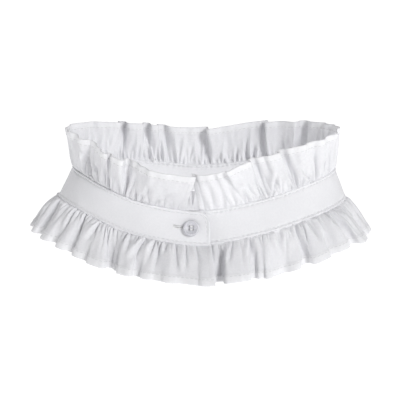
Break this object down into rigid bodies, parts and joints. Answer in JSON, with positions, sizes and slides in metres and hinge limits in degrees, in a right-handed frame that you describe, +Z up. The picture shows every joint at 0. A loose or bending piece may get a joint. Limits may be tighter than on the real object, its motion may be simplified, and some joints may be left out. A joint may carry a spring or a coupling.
{
  "type": "ruffled neck collar",
  "caption": "White cotton ruffled neck collar in its worn form: a stand band buttoned at the front, with a gathered ruffle on its upper edge and another on its lower edge.",
  "frame": {"origin": "middle of the neck opening, at the height of the band", "axes": "+Z up the wearer's neck, -Y out of the front where the band is buttoned, +X to the viewer's right"},
  "size_m": [0.2061, 0.1402, 0.0836],
  "materials": {
    "white_cotton": "matte plain-weave cotton",
    "pearl_button": "satin gloss"
  },
  "bodies": {
    "root": {"collar_band": "white_cotton", "upper_ruffle": "white_cotton", "lower_ruffle": "white_cotton", "button": "pearl_button"}
  },
  "joints": []
}
